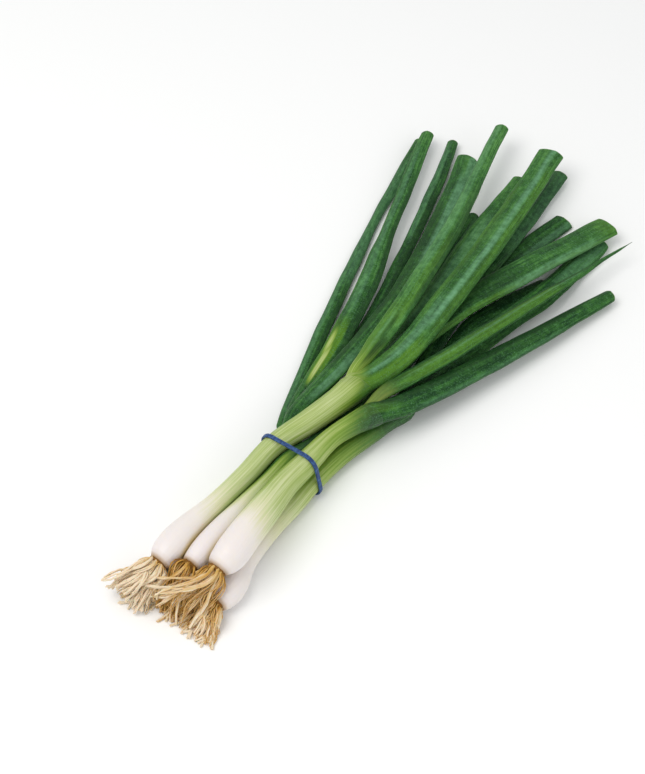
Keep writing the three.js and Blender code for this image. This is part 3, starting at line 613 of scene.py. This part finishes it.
def skinMarks(route, leaf, along, angle, across, knots, lead, seed):  # what the finish reads
    x = rowsAt(route, along.ravel())[:, 0].reshape(along.shape)
    ripeness = np.interp(x - lead * across, *np.array(knots, float).T)
    ripeness = np.maximum(ripeness - patches(across, x, leaf.get("pale", [])), 0)
    total, girth = distances(route)[-1], skinShape["girth"]
    tone = leaf["tone"] + wander("toneWander", along, seed + 11)
    tone = tone + skinShape["tipLighter"] * smooth(total - skinShape["tipLength"], total, along)
    grain = np.stack([np.cos(angle) * girth, np.sin(angle) * girth, along], -1) * mm
    grain[..., 2] += seed * 0.37  # so that no two skins share a pattern
    marks = {"grain": grain, "ripeness": ripeness, "tone": tone, "creaseShade": 0, "husk": 0, "rim": 0}
    # patches; the blue-green ones carry a painted highlight, and the dark ones are painted shade
    for kind in ("lime", "bloomAndHighlight", "dark", "dry"):
        marks[kind] = patches(across, x, leaf.get(kind, []))
    return marks, x


def skinAngles(spots):
    sides = skinShape["sides"]
    return np.broadcast_to((np.arange(sides) + 0.5) * math.tau / sides, (len(spots), sides))


# mouth: from the mouth of the sheath, inset, share of the rim's colour
sheathShape = {
    "mouth": [[-0.3, 0, 0.4], [-0.08, 0.04, 0.8], [0, 0.14, 1], [-0.1, 0.28, 1], [-0.8, 0.34, 1],
              [-3, 0.4, 1], [-6, 0.5, 1]],
    "lipLength": 12, "skewLength": 24, "overlap": 8, "huskUntil": 2.5, "huskShare": 0.8,
    # creaseShadeReach, creaseShadeGreen: how far from another stalk the painted shade reaches, and how
    # much greener it makes the skin
    "creaseShadeReach": 3.6, "creaseShadeGreen": 0.1, "greenFrom": -76, "greenUntil": -46,
}


# painted shade mask for the creases between stalks
def creaseShadeAt(points, skipped):  # 1 where another stalk lies close, fading out over the reach
    found = np.zeros(points.shape[:-1])
    for name in onions:
        if name != skipped:
            centre, radius = stalkAt(name, points[..., 0])
            gap = np.linalg.norm(points - centre, axis=-1) - radius
            found = np.maximum(found, 1 - smooth(0.2, sheathShape["creaseShadeReach"], gap))
    return found


def makeSheath(name, onion):
    sheath, shape, seed = sheaths[name], sheathShape, skinSeeds[name]
    leaf, route = leaves[sheath["blade"]], joinedRoute(name)
    mouth = distances(onion["stalk"])[-1]
    outer = np.linspace(0, mouth - 0.6, round(mouth / skinShape["step"]))
    fromMouth, turnedIn, edged = np.array(shape["mouth"]).T
    spots = np.append(outer, mouth + fromMouth)
    inset, inner = (np.append(0 * outer, part)[:, None] for part in (turnedIn, edged))
    angle = skinAngles(spots)
    opened = smooth(0.1, 0.85, np.cos(angle - math.radians(sheath["opens"])))
    leaning = smooth(mouth - shape["skewLength"], mouth, spots)[:, None]
    along = spots[:, None] - sheath["skew"] * np.cos(angle) * leaning
    lifted = sheath["lip"] * opened * smooth(mouth - shape["lipLength"], mouth - 1, spots)[:, None]
    points, _, across = skinPoints(route, leaf, mouth, along, angle, inset - lifted, seed)
    marks, x = skinMarks(route, leaf, along, angle, across, sheath["ripeness"], sheath["lead"], seed)
    # painted shade where another stalk lies close: a darker, yellower tint on the white part and greener
    # skin on the green part
    creaseShading = creaseShadeAt(points, name)
    greening = smooth(shape["greenFrom"], shape["greenUntil"], x)
    greener = creaseShading * shape["creaseShadeGreen"]
    # greener flanks: partly painted shade where a neighbour shades the flank
    for flank, share in (("left", smooth(0.2, 1, across)), ("right", smooth(0.5, 1, -across))):
        greener = greener + share * np.interp(x, *np.array(sheath[flank], float).T)
    marks["ripeness"] = marks["ripeness"] + greener * greening
    marks["husk"] = (1 - smooth(0, shape["huskUntil"], along)) * shape["huskShare"]
    marks["rim"] = inner * opened * sheath["rim"]
    marks["creaseShade"] = creaseShading * (1 - greening)
    addSkin(f"stalkSheath_{name}", points, marks, stalkSkin, f"stalk_{name}")


for name, onion in onions.items():
    makeSheath(name, onion)
print("stalks ready")

# cut: from the cut end, inset, share of the rim's colour
# tucked: how far inside its sheath an inner leaf stays; loosens, spreads: how soon and fast it leaves
bladeShape = {
    "cut": [[-0.5, 0, 0], [-0.15, 0.06, 0.5], [0, 0.22, 1], [-0.05, 0.42, 1], [-0.5, 0.5, 1],
            [-2.5, 0.5, 1], [-7, 0.5, 1], [-16, 0.5, 1], [-21, 1, 1], [-22, 1.5, 1]],
    "point": [[-0.6, 0, 0], [0, 0, 0]],
    "cornerPull": 1.3, "cutLength": 5, "within": 0.12, "tucked": 0.5, "loosens": 6, "spreads": 1,
}


def tuckedIn(points, onionName):  # keeps an inner leaf inside its sheath until it is past the mouth
    x = points[..., 0]
    centre, radius = stalkAt(onionName, x)
    past = x - onions[onionName]["stalk"][-1][0] + bladeShape["loosens"]
    radius = radius - bladeShape["tucked"] + np.maximum(past, 0) * bladeShape["spreads"]
    away = (points - centre)[..., 1:]
    far = np.linalg.norm(away, axis=-1)
    kept = points.copy()
    kept[..., 1:] = centre[..., 1:] + away * np.minimum(1, radius / np.maximum(far, 0.01))[..., None]
    return kept


def makeBlade(name, leaf, seed):
    shape = bladeShape
    own = sheathOf.get(name)  # the onion whose sheath runs on into this leaf
    route, bladeFrom, start, knots, lead = leaf["rows"], 0, 0, leaf.get("ripeness"), 0
    if own:
        route, seed = joinedRoute(own), skinSeeds[own]
        knots, lead = sheaths[own]["ripeness"], sheaths[own]["lead"]
        bladeFrom = distances(onions[own]["stalk"])[-1]
        start = bladeFrom - sheathShape["overlap"]
    total = distances(route)[-1]
    pointed = leaf.get("pointed")
    fromEnd, turnedIn, edged = np.array(shape["point" if pointed else "cut"]).T
    spots = np.linspace(start, total - 1.2, round((total - start) / skinShape["step"]))
    inset, inside = (np.append(0 * spots, part)[:, None] for part in (turnedIn, edged))
    spots = np.append(spots, total + fromEnd)
    if own:
        inset = inset + shape["within"] * (1 - smooth(bladeFrom + 5, bladeFrom + 9, spots))[:, None]
    angle = skinAngles(spots)
    along = spots[:, None] + 0 * angle
    points, ahead, across = skinPoints(route, leaf, bladeFrom, along, angle, inset, seed)
    if not pointed:
        cut = smooth(total - shape["cutLength"], total, spots)[:, None]
        pull = shape["cornerPull"] * np.abs(across) ** 3 + leaf.get("slant", 0) * across
        points = points - ahead * (cut * pull)[..., None]
    if not own and not leaf.get("outside"):
        points = tuckedIn(points, name[0])
    marks, _ = skinMarks(route, leaf, along, angle, across, knots, lead, seed)
    marks["rim"] = inside + 0 * across
    addSkin(f"leafBlade_{name}", points, marks, leafSkin, f"leaf_{name}")


for order, (name, leaf) in enumerate(leaves.items()):
    makeBlade(name, leaf, 100 + 20 * order)
print("leaves ready")


def geometryTree(name, floats, others):
    inputs = {"Geometry": "Geometry", **dict.fromkeys(floats, "Float"), **others, "Finish": "Material"}
    return nodeGroup(name, inputs, {"Geometry": "Geometry"}, "GeometryNodeTree")


def named(tree, name):
    return step(tree, "GeometryNodeInputNamedAttribute", {"Name": name}, data_type="FLOAT")


def closeTree(tree, geometry, finish, made):
    smoothed = step(tree, "GeometryNodeSetShadeSmooth", {0: geometry})
    real = step(tree, "GeometryNodeRealizeInstances", {0: smoothed})
    finished = step(tree, "GeometryNodeSetMaterial", {0: real, "Material": finish})
    setSockets(tree, made, {0: finished})
    return tree


def grow(name, mesh, tree, values):  # runs a tree on a mesh and keeps the result as a plain mesh
    piece = addObject(name, mesh)
    modifier = piece.modifiers.new("grow", "NODES")
    modifier.node_group = tree
    for item in tree.interface.items_tree:
        if item.in_out == "INPUT" and item.name in values:
            modifier[item.identifier] = values[item.name]
    graph = bpy.context.evaluated_depsgraph_get()
    grown = piece.evaluated_get(graph)
    result = bpy.data.meshes.new_from_object(grown, preserve_all_data_layers=True, depsgraph=graph)
    piece.modifiers.remove(modifier)
    piece.data = result
    return piece


# sizes, in millimetres, and shares are inputs of the tree; rootsFor: lines for each root of the solid
# crown: depth below the base plate and share of its width; coarse: share of thick roots
# swept: which way every other thick root is carried, in place of lean
rootShape = {
    "sizes": {"Stray": 1.7, "Wobble": 0.8, "Thick End": 0.7, "Thin End": 0.4, "Lowest": 0.5},
    "shares": {"Fine Width": 0.48, "Fine Wobble": 1.9, "Fine Stray": 1.5, "Coarse Stray": 0.6},
    "points": 18, "rootsFor": 4.2, "perRoot": 4, "spread": 0.5, "rise": 0.35, "sag": 7, "curl": 5,
    "swing": [0.3, 1.6], "fineLength": 0.85, "fineSag": 1.6,
    "ballsUntil": 60, "ballStep": 2.0, "ballGap": 0.7,
    "bendScale": 130.0, "bendApart": 40.0, "bendGrowth": 4.0,
    "crown": [(0.15, 0.97), (0.5, 1.03), (1.1, 0.97), (1.7, 0.8), (2.2, 0.45), (2.3, 0.12)],
    "crownSides": 40, "knobs": 9, "knobSize": 0.07, "knobRough": 0.05,
    "fineSpread": {"a": 0.5, "b": 0.25, "c": 0.4, "d": 0.45, "e": 0.6, "f": 0.6},
    "paler": {"a": 0.6, "b": -0.25, "c": -0.06, "d": 0.12, "e": -0.3, "f": -0.3},
    "coarse": {"a": 0.66, "b": 0.1, "c": 0.4, "d": 0.3, "e": 0.12, "f": 0.12},
    "swept": {"a": [0, 0.5, 0], "c": [0, 0.75, 0.1], "d": [0, 0.15, -0.3]},
}
rootLook = {
    "deep": tint(134, 92, 36), "gold": tint(204, 156, 70), "straw": tint(220, 184, 126),
    "cream": tint(238, 218, 188), "patchScale": 260.0, "grainScale": 1500.0,
    "relief": 0.0002, "coarser": 0.26, "specular": 0.25, "glow": 0.1, "glowReach": 0.001,
}


def makeRootFibre():
    material, tree, shader = newMaterial("rootFibre")
    look, spot = rootLook, place(tree, "ShaderNodeTexCoord").outputs["Object"]
    patchy = noise(tree, spot, look["patchScale"], 3.0)
    fine = noise(tree, spot, look["grainScale"], 2.0)
    paler = times(tree, mark(tree, "strandTone"), 0.45, times(tree, patchy, 0.6, -0.3))
    along = mark(tree, "along")
    paler = maths(tree, "ADD", limits(tree, along, 0.0, 0.35, -0.15, 0.25), paler)
    bleached = maths(tree, "ADD", limits(tree, along, 0.5, 1.0, 0.0, 0.2), look["coarser"])
    paler = times(tree, mark(tree, "coarse"), bleached, paler)
    stops = [(0.0, look["deep"]), (0.28, look["gold"]), (0.6, look["straw"]), (1.0, look["cream"])]
    setSockets(tree, shader, {
        "Base Color": ramp(tree, paler, stops), "Roughness": limits(tree, fine, 0, 1, 0.6, 0.85),
        "Normal": bump(tree, fine, look["relief"]), "Specular IOR Level": look["specular"],
        "Subsurface Weight": look["glow"], "Subsurface Scale": look["glowReach"],
    })
    return material


def makeRootTree():
    floats = [*rootShape["sizes"], *rootShape["shares"], "Paler"]
    tree, given, made = geometryTree("rootTuft", floats, {"Strands Per Root": "Int", "Seed": "Int"})
    parts = place(tree, "GeometryNodeSeparateGeometry", {
        "Geometry": given["Geometry"], "Selection": named(tree, "isCrown"),
    }).outputs
    lines = step(tree, "GeometryNodeMeshToCurve", {0: parts[1]})
    bundle = step(tree, "GeometryNodeDuplicateElements", {
        "Geometry": lines, "Amount": given["Strands Per Root"],
    }, domain="SPLINE")
    strand = place(tree, "GeometryNodeCurveOfPoint").outputs["Curve Index"]
    anyWay = step(tree, "FunctionNodeRandomValue", {
        0: (-1, -1, -1), 1: (1, 1, 1), "ID": strand, "Seed": given["Seed"],
    }, data_type="FLOAT_VECTOR")
    anyTone = place(tree, "FunctionNodeRandomValue", {"ID": strand, "Seed": given["Seed"]}).outputs[1]
    along, coarse = named(tree, "along"), named(tree, "coarse")
    wobble = times(tree, given["Wobble"], mixValue(tree, coarse, given["Fine Wobble"], 1.0))
    apart = times(tree, times(tree, along, -2.3, 2.6), along)  # widest halfway
    strayed = mixValue(tree, coarse, given["Fine Stray"], given["Coarse Stray"])
    stray = scaled(tree, scaled(tree, anyWay, given["Stray"]), times(tree, apart, strayed))
    here = step(tree, "GeometryNodeInputPosition")
    apartness = scaled(tree, anyWay, rootShape["bendApart"])
    spot = vectorMaths(tree, "ADD", scaled(tree, here, rootShape["bendScale"]), apartness)
    bends = vectorMaths(tree, "SUBTRACT", noise(tree, spot, 1.0, 2.0, output="Color"), (0.5, 0.5, 0.5))
    bends = scaled(tree, scaled(tree, bends, wobble), times(tree, along, rootShape["bendGrowth"]))
    moved = vectorMaths(tree, "ADD", here, vectorMaths(tree, "ADD", stray, bends))
    apiece = place(tree, "ShaderNodeSeparateXYZ", {0: moved}).outputs
    ground = times(tree, given["Lowest"], maths(tree, "ADD", anyTone, 1.0))
    lifted = joined(tree, apiece["X"], apiece["Y"], maths(tree, "MAXIMUM", apiece["Z"], ground))
    laid = step(tree, "GeometryNodeSetPosition", {"Geometry": bundle, "Position": lifted})
    toned = step(tree, "GeometryNodeStoreNamedAttribute", {
        "Geometry": laid, "Name": "strandTone", "Value": maths(tree, "ADD", anyTone, given["Paler"]),
    }, data_type="FLOAT", domain="POINT")
    width = mixValue(tree, along, given["Thick End"], given["Thin End"])
    width = times(tree, width, times(tree, anyTone, 0.6, 0.65))
    width = times(tree, width, mixValue(tree, coarse, given["Fine Width"], 1.0))
    profile = step(tree, "GeometryNodeCurvePrimitiveCircle", {"Resolution": 6, "Radius": 1.0})
    strands = step(tree, "GeometryNodeCurveToMesh", {
        "Curve": toned, "Profile Curve": profile, "Scale": width, "Fill Caps": True,
    })
    whole = place(tree, "GeometryNodeJoinGeometry")
    for grown in (strands, parts[0]):
        tree.links.new(grown, whole.inputs[0])
    return closeTree(tree, whole.outputs[0], given["Finish"], made)


def stalkBalls(skipped):  # the other stalks near the roots, as balls that a root slides off
    spots = np.arange(0, rootShape["ballsUntil"], rootShape["ballStep"])
    others = [onion["stalk"] for name, onion in onions.items() if name != skipped]
    return [(row[:3], row[3] + rootShape["ballGap"]) for stalk in others for row in rowsAt(stalk, spots)]


def rootLines(name, onion, rng):  # the middle line of every root, in layout millimetres
    shape, given = rootShape, onion["roots"]
    base, second = (np.array(onion["stalk"][i][:3], float) for i in (0, 1))
    back = unit(base - second)
    side = unit(np.cross([0.0, 0.0, 1.0], back))
    up = np.cross(back, side)
    plate = onion["stalk"][0][3] - 0.8
    t = np.linspace(0, 1, shape["points"])[:, None]
    balls = stalkBalls(name)
    found = []
    count = round(given["count"] * shape["rootsFor"])
    coarse = round(count * shape["coarse"][name])
    for order in range(count):
        angle, reach = rng.uniform(0, math.tau), math.sqrt(rng.uniform())
        sideways, upward = side * math.cos(angle), up * math.sin(angle)
        isCoarse = order < coarse
        fanned = sideways + upward * shape["rise"]
        spread = shape["spread"] if isCoarse else shape["fineSpread"][name]
        heading = unit(back + fanned * spread * reach)
        length = rng.uniform(*given["lengths"]) * (1 if isCoarse else shape["fineLength"])
        curl = (side * rng.uniform(-0.5, 0.5) + up * rng.uniform(-0.5, 0.5)) * shape["curl"]
        line = base + back * 0.6 + (sideways + upward) * reach * plate + heading * length * t
        lean = shape["swept"].get(name, given["lean"]) if isCoarse and order % 2 else given["lean"]
        line = line + np.array(lean) * rng.uniform(*shape["swing"]) * length * t**2
        line = line + curl * np.sin(math.tau * t)
        line[:, 2] -= shape["sag"] * t[:, 0] ** 2 * (1 if isCoarse else shape["fineSag"])
        for centre, radius in balls:
            away = line - centre
            far = np.linalg.norm(away, axis=1, keepdims=True)
            line = np.where(far < radius, centre + away / far * radius, line)
        line[:, 2] = np.maximum(line[:, 2], shape["sizes"]["Lowest"])
        found.append(line)
    return found, coarse, (base, back, side, up, plate)


def makeRoots(name, onion, seed):
    shape, rng = rootShape, np.random.default_rng(seed)
    lines, coarse, (base, back, side, up, plate) = rootLines(name, onion, rng)
    sides, count = shape["crownSides"], shape["points"]
    angle = np.arange(sides) * math.tau / sides
    outward = np.cos(angle)[:, None] * side + np.sin(angle)[:, None] * up
    rings = []
    for depth, share in shape["crown"]:
        knobbly = 1 + shape["knobSize"] * np.cos(angle * shape["knobs"] + depth * 2)
        knobbly = knobbly + shape["knobRough"] * rng.uniform(-1, 1, sides)
        rings.append(base + back * depth + (plate + 0.4) * share * outward * knobbly[:, None])
    crown = np.concatenate(rings)
    first = len(crown) + count * np.arange(len(lines))[:, None] + np.arange(count - 1)
    edges = np.stack([first, first + 1], -1).reshape(-1, 2).tolist()
    plain, title = np.zeros(len(crown)), f"rootTuft_{name}"
    along = np.append(plain, np.tile(np.linspace(0, 1, count), len(lines)))
    thick = np.append(plain, np.repeat(np.arange(len(lines)) < coarse, count))
    isCrown = np.arange(len(along)) < len(crown)
    marks = {"along": along, "coarse": thick, "isCrown": isCrown, "strandTone": 0.2}
    points = np.concatenate([crown, *lines])
    mesh = newMesh(title, points, edges, tubeFaces(len(rings), sides), marks)
    return grow(title, mesh, rootTree, {
        **inMetres(shape["sizes"]), **shape["shares"], "Strands Per Root": shape["perRoot"],
        "Paler": shape["paler"][name], "Seed": seed, "Finish": rootFibre,
    })


rootFibre = makeRootFibre()
rootTree = makeRootTree()
for order, (name, onion) in enumerate(onions.items()):
    addPiece(makeRoots(name, onion, 40 + order), f"roots_{name}")
print("roots ready")

bandLook = {
    "blue": tint(12, 50, 104), "worn": tint(62, 106, 160), "cloudScale": 700.0, "relief": 0.00008,
}


def makeBandRubber():
    material, tree, shader = newMaterial("bandRubber")
    spot = place(tree, "ShaderNodeTexCoord").outputs["Object"]
    cloudy = noise(tree, spot, bandLook["cloudScale"], 4.0)
    worn = limits(tree, cloudy, 0.4, 0.7, 0.0, 0.8)
    setSockets(tree, shader, {
        "Base Color": mixColour(tree, worn, bandLook["blue"], bandLook["worn"]),
        "Roughness": limits(tree, cloudy, 0, 1, 0.4, 0.65),
        "Normal": bump(tree, cloudy, bandLook["relief"]),
    })
    return material


def makeBandTree():
    tree, given, made = geometryTree("bandLoop", [*band["sizes"], "Twist"], {})
    loop = step(tree, "GeometryNodeMeshToCurve", {0: given["Geometry"]})
    loop = step(tree, "GeometryNodeResampleCurve", {"Curve": loop, "Count": band["points"]})
    loop = step(tree, "GeometryNodeSetCurveNormal", {"Curve": loop, "Normal": (1, 0, 0)}, mode="FREE")
    here = step(tree, "GeometryNodeInputPosition")
    slow = noise(tree, here, band["twistScale"], 1.0)
    tilt = times(tree, maths(tree, "SUBTRACT", slow, 0.5), given["Twist"])
    loop = step(tree, "GeometryNodeSetCurveTilt", {"Curve": loop, "Tilt": tilt})
    profile = step(tree, "GeometryNodeCurvePrimitiveQuadrilateral", {
        "Width": given["Width"], "Height": given["Thickness"],
    })
    profile = step(tree, "GeometryNodeFilletCurve", {
        "Curve": profile, "Radius": given["Corner"], "Count": 4, "Limit Radius": True,
    }, mode="POLY")
    strip = step(tree, "GeometryNodeCurveToMesh", {"Curve": loop, "Profile Curve": profile})
    fine = noise(tree, here, band["wrinkleScale"], 2.0)
    rise = times(tree, maths(tree, "SUBTRACT", fine, 0.5), given["Wrinkle"])
    outward = scaled(tree, step(tree, "GeometryNodeInputNormal"), rise)
    strip = step(tree, "GeometryNodeSetPosition", {"Geometry": strip, "Offset": outward})
    return closeTree(tree, strip, given["Finish"], made)


def bandOutline(distance):  # round the stalks at the waist
    discs = [waistOf(onion) for onion in onions.values()]
    points = []
    for i in range(band["steps"]):
        angle = math.tau * i / band["steps"]
        cos, sin = math.cos(angle), math.sin(angle)
        _, y, z, radius = max(discs, key=lambda disc: disc[1] * cos + disc[2] * sin + disc[3])
        points.append((0, y + (radius + distance) * cos, z + (radius + distance) * sin))
    return points


def makeBand():
    points = bandOutline(clearance + band["sizes"]["Thickness"] / 2)
    edges = [(i, (i + 1) % len(points)) for i in range(len(points))]
    return grow("bandLoop", newMesh("bandLoop", points, edges, [], {}), makeBandTree(), {
        **inMetres(band["sizes"]), "Twist": math.radians(band["twist"]), "Finish": makeBandRubber(),
    })


addPiece(makeBand(), "rubber_band")
print("band ready")

# lights: power, size, place in metres, colour; camera and target are in layout millimetres
stageLook = {
    "reach": 1.6, "below": 0.0002, "floor": tint(252, 252, 251), "room": (0.97, 0.985, 1.0, 1),
    "roomStrength": 0.67,
    "lights": {
        "keyLight": (7.6, 0.9, (-0.54, 0.26, 1.16), (1, 0.985, 0.96)),
        "fillLight": (1.4, 0.7, (-0.1, -0.95, 0.55), (1, 1, 1)),
    },
    "camera": [-451.96, -367.52, 769.97], "target": [51.29, 18.64, 14.0], "lens": 85,
}


def aim(thing, target):
    thing.rotation_euler = (target - thing.location).to_track_quat("-Z", "Y").to_euler()


floorMesh = bpy.data.meshes.new("floor")
reach = stageLook["reach"]
corners = [(-reach, -reach, 0), (reach, -reach, 0), (reach, reach, 0), (-reach, reach, 0)]
floorMesh.from_pydata(corners, [], [(0, 1, 2, 3)])
floorMaterial, floorTree, floorShader = newMaterial("paleFloor")
setSockets(floorTree, floorShader, {
    "Base Color": stageLook["floor"], "Roughness": 0.9, "Specular IOR Level": 0.1,
})
floorMesh.materials.append(floorMaterial)
floor = addObject("floor", floorMesh)
floor.location.z = -stageLook["below"]

world = bpy.data.worlds.new("softRoom")
bpy.context.scene.world = world
world.use_nodes = True
setSockets(world.node_tree, world.node_tree.nodes["Background"], {
    "Color": stageLook["room"], "Strength": stageLook["roomStrength"],
})

target = Vector(inRow(stageLook["target"]))
for name, (power, size, position, colour) in stageLook["lights"].items():
    lamp = bpy.data.lights.new(name, "AREA")
    lamp.energy, lamp.size, lamp.color, lamp.shape = power, size, colour, "DISK"
    light = addObject(name, lamp)
    light.location = Vector(position)
    aim(light, target)

cameraData = bpy.data.cameras.new("camera")
cameraData.lens, cameraData.clip_start, cameraData.clip_end = stageLook["lens"], 0.01, 10
camera = addObject("camera", cameraData)
camera.location = Vector(inRow(stageLook["camera"]))
aim(camera, target)
bpy.context.scene.camera = camera
bpy.context.scene.view_settings.view_transform = "Standard"
print("stage, lights and camera ready")
